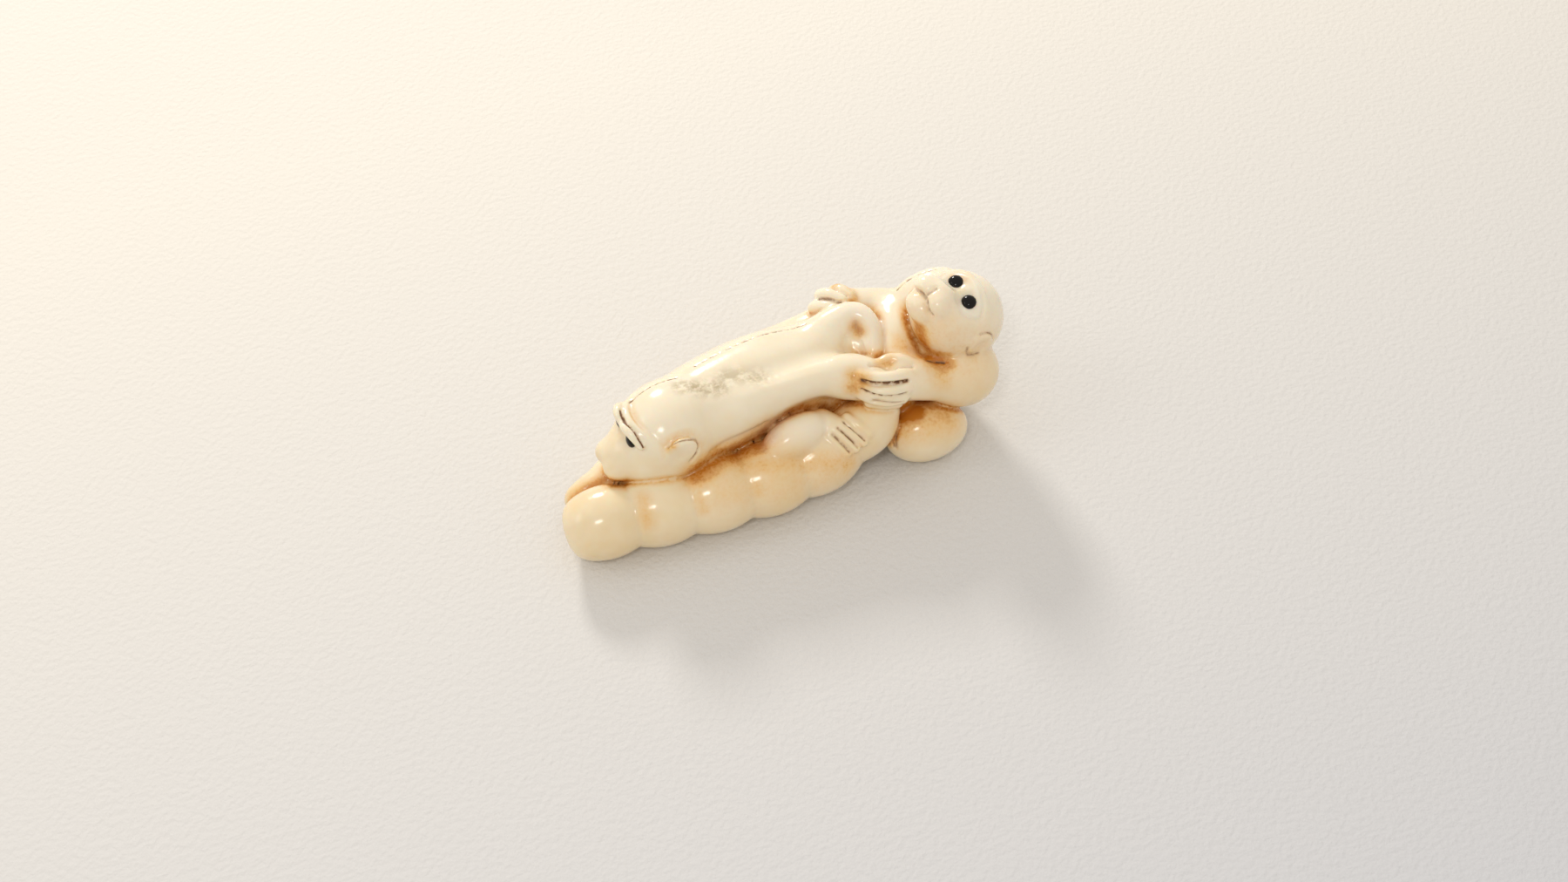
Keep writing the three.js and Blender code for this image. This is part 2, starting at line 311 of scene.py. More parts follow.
def monkey_a(points):
    """The monkey stretched out along the pods."""
    torso = limb(points, torso_line)
    mass = blend(monkey_head(points, head_a), torso, 2.5)
    arm = limb(points, [
        (-8.5, -1.2, 10.3, arm_radius * 1.48),
        (-5.5, -1.6, 11.2, arm_radius * 1.3),
        (-0.4, -1.4, 11.9, arm_radius),
        (3.4, -1.4, 12.1, arm_radius * 0.96),
        (6.2, -2.1, 11.8, arm_radius * 1.1),
        (8.0, -2.8, 11.4, arm_radius * 1.04),
    ])
    mass = blend(mass, arm, 0.9)
    ridge = limb(points, [
        (-5.6, -2.5, 12.7, 0.9),
        (-1.1, -2.5, 12.75, 0.95),
        (1.8, -2.4, 12.75, 0.95),
        (4.6, -2.3, 13.1, 0.9),
    ])
    mass = blend(mass, ridge, 0.7)
    knuckles = limb(points, [(5.6, -1.6, 13.1, 0.9), (7.6, -2.3, 13.0, 0.9), (9.2, -3.2, 12.8, 0.8)])
    mass = blend(mass, knuckles, 0.8)
    knee = egg(points, (-0.7, -5.3, 7.9), (4.1, 2.3, 2.4), facing((1, 0.2, 0.2)))
    mass = blend(mass, knee, 0.25)
    foot = limb(points, [
        (2.6, -4.4, 8.0, 1.6),
        (3.6, -5.7, 7.8, 1.7),
        (4.7, -6.8, 7.1, 1.5),
    ])
    mass = blend(mass, foot, 0.35)
    mass = digits(points, mass, toe_radius, toes)
    hip = egg(points, (9.2, 4.6, 9.6), (3.2, 2.8, 3.4))
    mass = blend(mass, hip, 0.8)
    raised_leg = limb(points, [
        (3.8, 3.0, 10.8, 3.0),
        (6.6, 3.9, 12.6, 2.3),
        (8.9, 4.3, 13.7, 1.55),
        (10.2, 3.6, 13.9, 1.25),
        (10.7, 2.0, 13.2, 1.2),
        (10.3, 0.2, 12.0, 1.2),
    ])
    mass = blend(mass, raised_leg, 1.0)
    mass = blend(mass, egg(points, (8.9, 2.0, 11.2), (2.4, 2.2, 2.1)), 0.6)
    far_arm = limb(points, [
        (-9.0, 3.2, 9.2, arm_radius * 1.4),
        (-4.0, 5.9, 8.8, arm_radius * 1.15),
        (2.0, 6.7, 9.2, arm_radius),
        (6.6, 6.8, 10.2, arm_radius),
    ])
    mass = blend(mass, far_arm, 0.8)
    far_knee = egg(points, (0.6, 6.4, 5.8), (3.9, 2.2, 2.6), facing((1, 0.15, 0.2)))
    mass = blend(mass, far_knee, 0.4)
    seat = egg(points, (6.5, 2.2, 6.6), (5.2, 5.0, 4.8))
    return blend(mass, seat, 1.0)


def monkey_b(points):
    """The monkey crouched at the other end."""
    trunk = egg(points, (17.6, 1.4, 7.2), (5.2, 5.2, 6.4))
    trunk = blend(trunk, egg(points, (11.8, 0.6, 6.4), (3.6, 5.2, 5.6)), 1.0)
    chest = limb(points, [
        (13.6, 4.8, 11.6, 2.0),
        (13.6, 2.4, 12.0, 2.1),
        (13.0, -0.6, 11.2, 2.1),
    ])
    trunk = blend(trunk, chest, 0.6)
    trunk = blend(trunk, egg(points, (19.0, -3.4, 9.2), (4.1, 3.8, 4.0)), 1.5)
    far_shoulder = limb(points, far_shoulder_line)
    trunk = blend(trunk, far_shoulder, 1.4)
    mass = blend(monkey_head(points, head_b), trunk, 0.4)
    near_arm = limb(points, [
        (19.5, -3.7, 9.2, arm_radius * 1.48),
        (15.6, -4.2, 10.0, arm_radius * 1.04),
        (12.4, -3.9, 10.9, arm_radius * 1.04),
        (10.4, -3.9, 11.2, arm_radius * 1.0),
    ])
    mass = blend(mass, near_arm, 1.0)
    mass = digits(points, mass, finger_radius, near_fingers + [near_thumb])
    hollow = egg(points, (10.5, -3.7, 14.1), (1.0, 0.7, 0.9))
    mass = cut(mass, hollow, 0.5)
    mass = blend(mass, egg(points, (14.4, -5.8, 3.6), (4.7, 3.2, 3.5)), 0.5)
    far_arm = limb(points, [
        (18.0, 4.5, 9.0, 3.2),
        (15.0, 6.0, 11.0, 2.2),
        (12.0, 6.8, 11.7, 2.0),
        (8.3, 7.0, 12.0, 2.5),
    ])
    mass = blend(mass, far_arm, 0.8)
    mass = digits(points, mass, far_finger_radius, far_fingers)
    return blend(mass, egg(points, (14.0, 5.8, 3.7), (4.6, 3.2, 3.5)), 0.5)


def cord_channel(points):
    """The two holes underneath, joined inside, that a cord is threaded through."""
    stations = []
    for along, height in ((-4.8, -2.0), (-4.0, 1.8), (0.0, 3.2), (4.0, 1.8), (4.8, -2.0)):
        stations.append((-4.0 + along, 3.5 + along * 0.2, height, 1.2))
    return limb(points, stations)


def carving(points):
    """Distance from each point to the carved surface, negative inside it."""
    mass = blend(bean_pods(points), monkey_a(points), 0.3)
    mass = blend(mass, monkey_b(points), 0.35)
    mass = cut(mass, cord_channel(points), 0.3)
    floor = (points[:, 2] - worn_level).astype(np.float32)
    return cut(mass, floor, 0.25)


def banded_distances(spots, shape, step):
    """The carving's distances on a grid, worked out finely only close to its surface."""
    coarse = 4
    rough_shape = tuple(n // coarse + 2 for n in shape)
    axes = [np.arange(n, dtype=np.float32) * coarse * step for n in rough_shape]
    rough = np.stack(np.meshgrid(*axes, indexing="ij"), -1).reshape(-1, 3) + spots[0]
    rough_field = carving(rough).reshape(rough_shape)
    cells = np.indices(shape).reshape(3, -1)
    nearest = tuple((cells + coarse // 2) // coarse)
    field = rough_field[nearest]
    close = np.abs(field) < coarse * step * 1.3
    field[close] = carving(spots[close])
    return field.reshape(shape)


def first_surface(low, high, step):
    """Corners and quads of a surface net over a grid, where the distance changes sign."""
    axes = [np.arange(a, b, step, dtype=np.float32) for a, b in zip(low, high)]
    grid = np.stack(np.meshgrid(*axes, indexing="ij"), -1)
    shape = grid.shape[:3]
    field = banded_distances(grid.reshape(-1, 3), shape, step)
    solid = field < 0
    total = np.zeros(tuple(n - 1 for n in shape) + (3,), np.float32)
    count = np.zeros(tuple(n - 1 for n in shape), np.int32)
    crossings = []
    for axis in range(3):
        ahead = [slice(None)] * 3
        behind = [slice(None)] * 3
        ahead[axis] = slice(1, None)
        behind[axis] = slice(None, -1)
        ahead = tuple(ahead)
        behind = tuple(behind)
        changed = solid[ahead] != solid[behind]
        i, j, k = np.nonzero(changed)
        start = field[behind][i, j, k]
        share = start / (start - field[ahead][i, j, k])
        spot = grid[i, j, k].copy()
        spot[:, axis] += share * step
        crossings.append((axis, i, j, k, solid[behind][i, j, k]))
        u, v = [a for a in range(3) if a != axis]
        for du in (0, 1):
            for dv in (0, 1):
                cell = [i.copy(), j.copy(), k.copy()]
                cell[u] -= du
                cell[v] -= dv
                np.add.at(total, tuple(cell), spot)
                np.add.at(count, tuple(cell), 1)
    used = count > 0
    number = np.full(count.shape, -1, np.int64)
    number[used] = np.arange(used.sum())
    corners = total[used] / count[used][:, None]
    quads = []
    for axis, i, j, k, leaving in crossings:
        u, v = (axis + 1) % 3, (axis + 2) % 3
        ring = []
        for du, dv in ((1, 1), (0, 1), (0, 0), (1, 0)):
            cell = [i.copy(), j.copy(), k.copy()]
            cell[u] -= du
            cell[v] -= dv
            ring.append(number[tuple(cell)])
        ring = np.stack(ring, 1)
        ring[~leaving] = ring[~leaving][:, ::-1]
        quads.append(ring)
    return corners, np.concatenate(quads)


def normals_at(points, spread=0.06):
    """Which way is out, at each point."""
    slope = np.empty((len(points), 3), np.float32)
    for axis in range(3):
        shift = np.zeros(3, np.float32)
        shift[axis] = spread
        slope[:, axis] = carving(points + shift) - carving(points - shift)
    return slope / (np.linalg.norm(slope, axis=1, keepdims=True) + 1e-9)


def settle(points, rounds=2):
    """Move points onto the carved surface."""
    for _ in range(rounds):
        points = points - carving(points)[:, None] * normals_at(points) * 0.9
    return points


def split_edges(corners, triangles, chosen):
    """Halve every edge that chosen(middle, length) picks, and close the mesh round it."""
    edges = np.concatenate([triangles[:, [0, 1]], triangles[:, [1, 2]], triangles[:, [2, 0]]])
    edges.sort(axis=1)
    unique, which = np.unique(edges, axis=0, return_inverse=True)
    which = which.reshape(3, -1).T
    ends = corners[unique]
    length = np.linalg.norm(ends[:, 0] - ends[:, 1], axis=1)
    picked = chosen(ends.mean(1), length)
    number = np.full(len(unique), -1)
    number[picked] = len(corners) + np.arange(picked.sum())
    added = ends[picked].mean(1)
    middle = number[which]
    how_many = (middle >= 0).sum(1)
    pieces = [triangles[how_many == 0]]
    for t, m in turned(triangles, middle, how_many == 1, lambda m: m[:, 0] >= 0):
        pieces.append(np.stack([t[:, 0], m[:, 0], t[:, 2]], 1))
        pieces.append(np.stack([m[:, 0], t[:, 1], t[:, 2]], 1))
    for t, m in turned(triangles, middle, how_many == 2, lambda m: m[:, 2] < 0):
        pieces.append(np.stack([m[:, 0], t[:, 1], m[:, 1]], 1))
        pieces.append(np.stack([t[:, 0], m[:, 0], m[:, 1]], 1))
        pieces.append(np.stack([t[:, 0], m[:, 1], t[:, 2]], 1))
    t, m = triangles[how_many == 3], middle[how_many == 3]
    for a, b, c in ((t[:, 0], m[:, 0], m[:, 2]), (m[:, 0], t[:, 1], m[:, 1])):
        pieces.append(np.stack([a, b, c], 1))
    pieces.append(np.stack([m[:, 2], m[:, 1], t[:, 2]], 1))
    pieces.append(m)
    return np.concatenate([corners, added]), np.concatenate(pieces)


def turned(triangles, middle, group, leads):
    """The group's triangles, turned so that leads(their middles) is true."""
    t, m = triangles[group], middle[group]
    for turn in range(3):
        order = [turn, (turn + 1) % 3, (turn + 2) % 3]
        ready = leads(m[:, order])
        yield t[ready][:, order], m[ready][:, order]


def crowding(points, normals):
    """How shut in a place is, from 0 in the open to 1 deep in a hollow."""
    shut = np.zeros(len(points), np.float32)
    for reach in (0.5, 1.1, 2.2):
        room = carving(points + normals * reach)
        shut += np.clip(reach - room, 0, None) / reach / 3
    return shut


# The frame has its origin at the bottom centre of the part. An eye's place ties the two.
eye_forward, eye_side = 4.1, 1.42
eye_centres = {
    "eye_A_left": head_a.at(eye_forward, eye_side, head_a.eye_height),
    "eye_A_right": head_a.at(eye_forward, -eye_side, head_a.eye_height),
    "eye_B_left": head_b.at(eye_forward, eye_side, head_b.eye_height),
    "eye_B_right": head_b.at(eye_forward, -eye_side, head_b.eye_height),
}
millimetre = 0.001
eye_low, eye_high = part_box("eye_A_left")
frame_shift = np.array(eye_low + eye_high) / 2 - eye_centres["eye_A_left"] * millimetre


def to_frame(points):
    return np.asarray(points) * millimetre + frame_shift


detail_places = [
    (head_a.at(4.0, 0, -0.5), 4.8),
    (head_b.at(4.0, 0, -0.5), 4.8),
    ((8.5, -4.5, 12.0), 4.6),
    ((5.0, -6.5, 7.5), 3.6),
    ((8.2, 7.2, 13.8), 3.0),
    ((9.0, 2.5, 13.0), 2.6),
]

# Lines cut with a graver: how wide, how deep, how dark with old dirt, and a rough route that
# is laid onto the surface afterwards. Most follow the shapes that they are cut between or along,
# and the last few have short routes given one by one.
def creases(paths, outward, width, depth, darks):
    """Cuts along the gaps between neighbouring fingers or toes."""
    lines = []
    for one, other, dark in zip(paths[:-1], paths[1:], darks):
        gap = [(np.array(a) + np.array(b)) / 2 + np.array(outward) for a, b in zip(one, other)]
        lines.append((width, depth, dark, gap))
    return lines


def far_edge(stations, lean):
    """The line along the upper far side of a limb, leaning over from its top."""
    edge = []
    for x, y, z, radius in stations:
        edge.append((x, y + radius * np.sin(lean), z + radius * np.cos(lean)))
    return edge


def arc(head, centre, radii, start, end, side=1):
    """Part of an oval on a head, seen from its side: centre and radii are ahead, left, above."""
    places = []
    for angle in np.radians(np.linspace(start, end, 6)):
        ahead = centre[0] + radii[0] * np.cos(angle)
        left = side * (centre[1] - radii[1] * np.abs(np.cos(angle)))
        places.append(head.at(ahead, left, centre[2] + radii[2] * np.sin(angle)))
    return places


def eye_rim(head, out, start, end):
    """Part of the oval round both eyes, seen from the front, pulled back at its sides."""
    places = []
    for angle in np.radians(np.linspace(start, end, 6)):
        across = rim_half_width * out * np.cos(angle)
        above = head.eye_height + rim_half_height * out * np.sin(angle)
        places.append(head.at(4.6 - 0.11 * across**2, across, above))
    return places


def mouth(head, drop, half_width):
    """The slit under both lips."""
    aside, lift = head.muzzle_shift
    return [
        head.at(5.0, aside - half_width, drop + lift + 0.2),
        head.at(6.1, aside, drop + lift),
        head.at(5.0, aside + half_width, drop + lift + 0.2),
    ]


cut_lines = creases(near_fingers, (0, -0.35, 0.5), 0.24, 0.34, (1.0, 0.9, 0.35))
cut_lines += creases([near_thumb, near_fingers[0]], (0, 0, 0.8), 0.24, 0.30, (0.15,))
cut_lines += creases(toes, (-0.2, -0.5, 0.35), 0.22, 0.28, (0.6, 0.6, 0.5))
cut_lines += creases(far_fingers, (0, -0.2, 0.6), 0.24, 0.28, (0.5, 0.5))
for head, ear_arcs in ((head_a, ((30, 230),)), (head_b, ((10, 90), (-150, -60)))):
    for side, (ear_ahead, ear_up) in zip((1, -1), head.ears):
        for start, end in ear_arcs:
            curl = arc(head, (ear_ahead, 4.6, ear_up), (1.6, 0.3, 1.6), start, end, side)
            cut_lines.append((0.22, 0.22, 0.5, curl))
cut_lines.append((0.22, 0.22, 0.9, eye_rim(head_a, 1.15, 15, 110)))
cut_lines.append((0.26, 0.14, 0.0, eye_rim(head_b, 1.2, -50, 230)))
cut_lines.append((0.24, 0.28, 0.35, mouth(head_a, -3.2, 1.8)))
cut_lines.append((0.26, 0.36, 0.4, mouth(head_b, -3.4, 1.8)))
nose_lift = head_b.muzzle_shift[1]
nose_slit = [head_b.at(6.1, -0.65, -3.4 + nose_lift), head_b.at(6.3, -0.65, -1.8 + nose_lift)]
cut_lines.append((0.26, 0.30, 0.3, nose_slit))

# Broad shallow hollows: beside the lifted arm, under it, and between the two pods' ends.
cut_lines.append((1.1, 0.3, 0.0, [(-3.0, -1.0, 14.5), (2.0, -0.5, 14.5), (8.0, 0.5, 13.0)]))
cut_lines.append((0.5, 0.16, 0.0, [(-10.0, -5.5, 9.5), (-3.5, -4.0, 10.0)]))
cut_lines.append((0.6, 0.3, 0.0, [(-20.5, -2.0, 5.5), (-25.0, -3.5, 4.5)]))

# A wrinkle under the crouching monkey's jaw, and two toe cuts low on its near leg.
cut_lines.append((0.22, 0.2, 0.9, [(15.0, -3.5, 12.5), (16.5, -4.5, 12.5)]))
for toe_gap in (0.0, 1.0):
    cut_lines.append((0.24, 0.22, 0.5, [(9.5 + toe_gap, -6.5, 5.5), (10.0 + toe_gap / 2, -7.0, 4.0)]))

# A row of short dark nicks is what is left of an old outline along the far side of the back.
crown = []
for angle in np.radians(np.linspace(-30, 45, 5)):
    crown_up = head_radius * np.cos(angle)
    crown.append(head_a.at(head_radius * np.sin(angle) - 0.3, -crown_up * 0.57, crown_up * 0.82 + 0.2))
outlines = [crown, far_edge(torso_line[1:], np.radians(25)), far_edge(far_shoulder_line[:3], np.radians(20))]
nick_length = np.random.default_rng(4).uniform(0.2, 0.75, 80)


def distance_to_line(points, places, reach=1.2):
    """Which points are near a line, and how far from it they are."""
    line = np.asarray(places)
    where = near(points, line.min(0), line.max(0), reach)
    spots = points[where]
    closest = np.full(len(spots), 9.0)
    for a, b in zip(line[:-1], line[1:]):
        along = b - a
        t = np.clip((spots - a) @ along / (along @ along + 1e-9), 0, 1)
        np.minimum(closest, np.linalg.norm(spots - a - t[:, None] * along, axis=1), out=closest)
    return where, closest


for outline in outlines:
    knots = smooth_line(outline, 4)
    for start, end, share in zip(knots[:-1], knots[1:], nick_length):
        cut_lines.append((0.17, 0.09, share * 1.2, [start, start + (end - start) * share]))


def laid_on_surface(lines):
    """The lines, smoothed and laid onto the carved surface."""
    routes = [smooth_line(line[-1], 5) for line in lines]
    ends = np.cumsum([len(route) for route in routes])[:-1]
    laid = settle(np.concatenate(routes).astype(np.float32), 4)
    return [(*line[:-1], route) for line, route in zip(lines, np.split(laid, ends))]


cut_lines = laid_on_surface(cut_lines)


def wants_detail(middle, length):
    chosen = np.zeros(len(middle), bool)
    for place, reach in detail_places:
        chosen |= np.linalg.norm(middle - np.asarray(place), axis=1) < reach
    return chosen & (length > fine_edge)


def wants_fine_detail(middle, length):
    chosen = np.zeros(len(middle), bool)
    for width, _, _, places in cut_lines:
        where, away = distance_to_line(middle, places)
        chosen[where[away < width * 2.2]] = True
    return chosen & (length > fine_edge * 0.75)


corners, quads = first_surface((-28, -12.5, -1), (26.5, 11.5, 21.5), clay_step)
corners = settle(corners)
one_way = np.linalg.norm(corners[quads[:, 0]] - corners[quads[:, 2]], axis=1)
other_way = np.linalg.norm(corners[quads[:, 1]] - corners[quads[:, 3]], axis=1)
short_first = one_way < other_way
straight = quads[short_first]
across = quads[~short_first]
triangles = np.concatenate([straight[:, [0, 1, 2]], straight[:, [0, 2, 3]],
                            across[:, [0, 1, 3]], across[:, [1, 2, 3]]])
for _ in range(2):
    corners, triangles = split_edges(corners, triangles, wants_detail)
corners, triangles = split_edges(corners, triangles, wants_fine_detail)
corners = settle(corners.astype(np.float32))
print("carving mesh", len(corners), "corners", len(triangles), "triangles")
normals = normals_at(corners)
shut_in = crowding(corners, normals)
cut_dirt = np.zeros(len(corners), np.float32)
sunk = np.zeros(len(corners), np.float32)
for width, depth, dark, places in cut_lines:
    where, away = distance_to_line(corners, places)
    np.maximum.at(sunk, where, depth * np.exp(-((away / width) ** 2)))
    np.maximum.at(cut_dirt, where, dark * np.exp(-((away / width / 0.62) ** 2)))
corners -= normals * sunk[:, None]

# Where stain has soaked in, where the back is smudged grey, and where raised places are painted
# paler as if catching more light: reach, strength and a rough route, laid onto the surface afterwards.
pod_dips = []
for dip in range(3):
    along = -18.5 + dip * pod_knob_spacing
    pod_dips.append((1.0, 0.35, [(along, -7.5, 8.0), (along, -9.5, 6.0)]))
stain_lines = pod_dips + [
    (4.5, 0.30, [head_b.at(0.5, 3.5, -1.5), head_b.at(2.5, 2.0, -3.0)]),
    (1.4, 1.05, [(14.0, -2.0, 15.5), (15.0, -2.5, 12.5), (16.5, -4.5, 12.5)]),
    (1.6, 0.45, [(13.0, -1.0, 13.5), (16.0, -5.5, 11.5)]),
    (1.1, 0.75, [near_fingers[0][-1], near_fingers[1][-1]]),
    (0.9, 0.5, [near_thumb[-1], near_thumb[-2]]),
    (0.9, 0.9, [(9.5, 3.0, 14.0), (9.5, 2.0, 13.5)]),
    (0.7, 0.6, [far_fingers[2][1], far_fingers[2][0]]),
    (0.9, 0.6, eye_rim(head_b, 0.9, 120, 190)),
    (0.8, 0.25, mouth(head_b, -3.4, 1.2)),
    (0.55, 0.5, [head_a.at(1.6, 4.5, 3.0), head_a.at(0.8, 4.7, 3.2)]),
    (1.2, 0.75, [(-25.0, -3.5, 4.5), (-20.5, -2.0, 5.5)]),
    (1.7, 0.45, [(-9.0, -6.5, 8.0), (0.0, -8.5, 7.0), (4.0, -9.0, 6.0)]),
    (1.7, 1.05, [(-12.0, -6.5, 8.0), (-7.0, -5.0, 8.0), (-2.5, -5.5, 8.0)]),
    (3.5, 0.25, [(-10.0, -8.5, 6.5), (4.0, -9.0, 5.5)]),
    (1.4, 1.7, [(11.5, -5.0, 6.5), (13.0, -5.5, 7.0)]),
    (2.2, 0.55, [(10.5, -6.0, 6.0), (16.0, -7.0, 6.5)]),
]
smudge_lines = [
    (1.0, 0.7, [(-11.5, 0.0, 14.0), (-7.5, -1.0, 14.0)]),
    (1.1, 0.5, [(-6.5, 0.0, 14.5), (-3.0, -1.0, 14.5)]),
]
# Painted light: paler patches on the knee, the rim round the crouching monkey's eyes, the bend of the lifted
# leg and the far hand, lightening them as if lit more brightly.
painted_light_lines = [
    (1.7, 0.7, [(-2.5, -5.5, 9.5), (1.5, -6.0, 9.5)]),
    (0.75, 0.8, eye_rim(head_b, 1.0, -40, 220)),
    (1.4, 1.0, [(9.0, 4.0, 15.0), (10.5, 3.0, 15.0), (11.5, 2.0, 14.0)]),
    (0.9, 0.6, [(9.5, 0.5, 13.0), (11.5, 1.0, 12.5)]),
    (1.2, 0.5, [(7.0, 7.0, 13.0), (7.5, 7.5, 13.5)]),
]


def marked(points, lines):
    """How strongly each point is marked by soft-edged marks."""
    strength = np.zeros(len(points), np.float32)
    for reach, power, places in laid_on_surface(lines):
        where, away = distance_to_line(points, places, reach * 2.2)
        np.maximum.at(strength, where, power * np.exp(-((away / reach) ** 2)))
    return strength


stained = marked(corners, stain_lines)
smudged = marked(corners, smudge_lines)
# Painted light: how strongly each point is lightened on those raised places.
painted_light = marked(corners, painted_light_lines)
carving_mesh = bpy.data.meshes.new("carving")
carving_mesh.from_pydata(to_frame(corners).tolist(), [], triangles.tolist())
carving_mesh.polygons.foreach_set("use_smooth", np.ones(len(triangles), bool))
surface_marks = {
    "shut_in": shut_in,
    "cut_dirt": cut_dirt,
    "stained": stained,
    "smudged": smudged,
    "painted_light": painted_light,
}
for name, values in surface_marks.items():
    carving_mesh.attributes.new(name, "FLOAT", "POINT").data.foreach_set("value", values)
carved_body = bpy.data.objects.new("carved_monkeys", carving_mesh)
bpy.context.collection.objects.link(carved_body)


def new_material(name):
    material = bpy.data.materials.new(name)
    material.use_nodes = True
    shader = material.node_tree.nodes["Principled BSDF"]
    return material, material.node_tree, shader


ivory, ivory_nodes, ivory_shader = new_material("polished_ivory")


def node(tree, kind, inputs=None, **settings):
    """A node with its settings and inputs; an input is a value or another node's output."""
    made = tree.nodes.new(kind)
    for name, value in settings.items():
        setattr(made, name, value)
    for name, value in (inputs or {}).items():
        if isinstance(value, bpy.types.NodeSocket):
            tree.links.new(value, made.inputs[name])
        else:
            made.inputs[name].default_value = value
    return made


def mixed(tree, amount, first, second, way="MIX"):
    """A mix of two colours, each a colour or a socket."""
    made = tree.nodes.new("ShaderNodeMix")
    made.data_type = "RGBA"
    made.blend_type = way
    for socket, value in ((made.inputs[0], amount), (made.inputs[6], first), (made.inputs[7], second)):
        if isinstance(value, bpy.types.NodeSocket):
            tree.links.new(value, socket)
        else:
            socket.default_value = value
    return made.outputs[2]


def attribute(name):
    return node(ivory_nodes, "ShaderNodeAttribute", attribute_name=name).outputs["Fac"]


place_on = node(ivory_nodes, "ShaderNodeTexCoord").outputs["Object"]


def noise(scale, detail=3.0, vector=place_on):
    inputs = {"Vector": vector, "Scale": scale, "Detail": detail, "Roughness": 0.6}
    return node(ivory_nodes, "ShaderNodeTexNoise", inputs).outputs["Fac"]


def remap(value, low, high, to_low=0.0, to_high=1.0):
    inputs = {"Value": value, "From Min": low, "From Max": high, "To Min": to_low, "To Max": to_high}
    return node(ivory_nodes, "ShaderNodeMapRange", inputs).outputs[0]


def math(way, a, b=0.5, c=0.5):
    inputs = {0: a, 1: b, 2: c}
    return node(ivory_nodes, "ShaderNodeMath", inputs, operation=way).outputs[0]


cream = (0.82, 0.655, 0.40, 1)
milk = (0.86, 0.74, 0.53, 1)
# Painted light: the paler cream that the top of the carving is mixed towards.
top_lit_cream = (0.90, 0.825, 0.67, 1)
honey = (0.80, 0.50, 0.19, 1)
amber = (0.52, 0.18, 0.015, 1)
brown = (0.34, 0.15, 0.045, 1)
umber = (0.10, 0.04, 0.012, 1)
# Painted light: the paler cream laid on raised places.
painted_light_cream = (0.88, 0.80, 0.66, 1)
smudge_grey = (0.50, 0.40, 0.24, 1)

cloudy = remap(noise(140), 0.35, 0.65)
body = mixed(ivory_nodes, cloudy, cream, milk)
# Painted light: the higher a place on the carving, the more its colour is mixed towards a paler cream,
# broken up a little by noise, as if its top were more brightly lit.
height = node(ivory_nodes, "ShaderNodeSeparateXYZ", {"Vector": place_on}).outputs["Z"]
lit_from_above = math("ADD", remap(height, 0.0085, 0.0150, 0.0, 0.85), remap(noise(260), 0.3, 0.7, -0.15, 0.15))
body = mixed(ivory_nodes, math("MAXIMUM", lit_from_above, 0.0), body, top_lit_cream)
mottled = noise(700, 5.0)
freckled = remap(noise(2600, 2.0), 0.45, 0.7)
soaked = remap(attribute("shut_in"), 0.16, 1.0, 0.0, 0.9)
soaked = math("MAXIMUM", soaked, attribute("stained"))
patchy = math("MULTIPLY_ADD", mottled, 1.1, 0.42)
soaked = math("MULTIPLY", soaked, patchy)
soaked = math("MULTIPLY_ADD", math("MULTIPLY", freckled, soaked), 0.3, soaked)
tint = mixed(ivory_nodes, remap(soaked, 0.03, 0.6), body, honey)
tint = mixed(ivory_nodes, remap(soaked, 0.5, 1.1), tint, amber)
rubbed_grey = math("MULTIPLY", attribute("smudged"), remap(noise(1300, 4.0), 0.38, 0.58, 0.0, 1.3))
tint = mixed(ivory_nodes, rubbed_grey, tint, smudge_grey)
broken = remap(noise(1500, 2.0), 0.36, 0.56, 0.25, 1.0)
# Painted light: the raised places are mixed towards a paler cream.
tint = mixed(ivory_nodes, attribute("painted_light"), tint, painted_light_cream)
dirty = math("MULTIPLY", attribute("cut_dirt"), broken)
tint = mixed(ivory_nodes, remap(dirty, 0.05, 0.55), tint, brown)
tint = mixed(ivory_nodes, remap(dirty, 0.35, 0.9), tint, umber)
ivory_nodes.links.new(tint, ivory_shader.inputs["Base Color"])
dulled = math("MULTIPLY_ADD", dirty, 0.45, remap(mottled, 0.3, 0.7, 0.13, 0.22))
ivory_nodes.links.new(dulled, ivory_shader.inputs["Roughness"])
ripple = {"Strength": 0.12, "Distance": 0.0001, "Height": noise(420, 4.0)}
polish = node(ivory_nodes, "ShaderNodeBump", ripple)
ivory_nodes.links.new(polish.outputs[0], ivory_shader.inputs["Normal"])
ivory_shader.inputs["Subsurface Weight"].default_value = 0.35
ivory_shader.inputs["Subsurface Radius"].default_value = (1.0, 0.6, 0.3)
ivory_shader.inputs["Subsurface Scale"].default_value = 0.0014
carving_mesh.materials.append(ivory)
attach(carved_body, "root")
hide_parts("carved_body")

# ==== The eyes =============================================================================
# Four pegs of black horn with domed, polished heads, one in each eye hollow. Each is pushed
# and glued into a drilled hole, so that only its dome shows.

eye_radius = 0.84
eye_black, _, eye_shader = new_material("polished_black")
eye_shader.inputs["Base Color"].default_value = (0.006, 0.005, 0.005, 1)
eye_shader.inputs["Roughness"].default_value = 0.08
eye_shader.inputs["Specular IOR Level"].default_value = 0.22


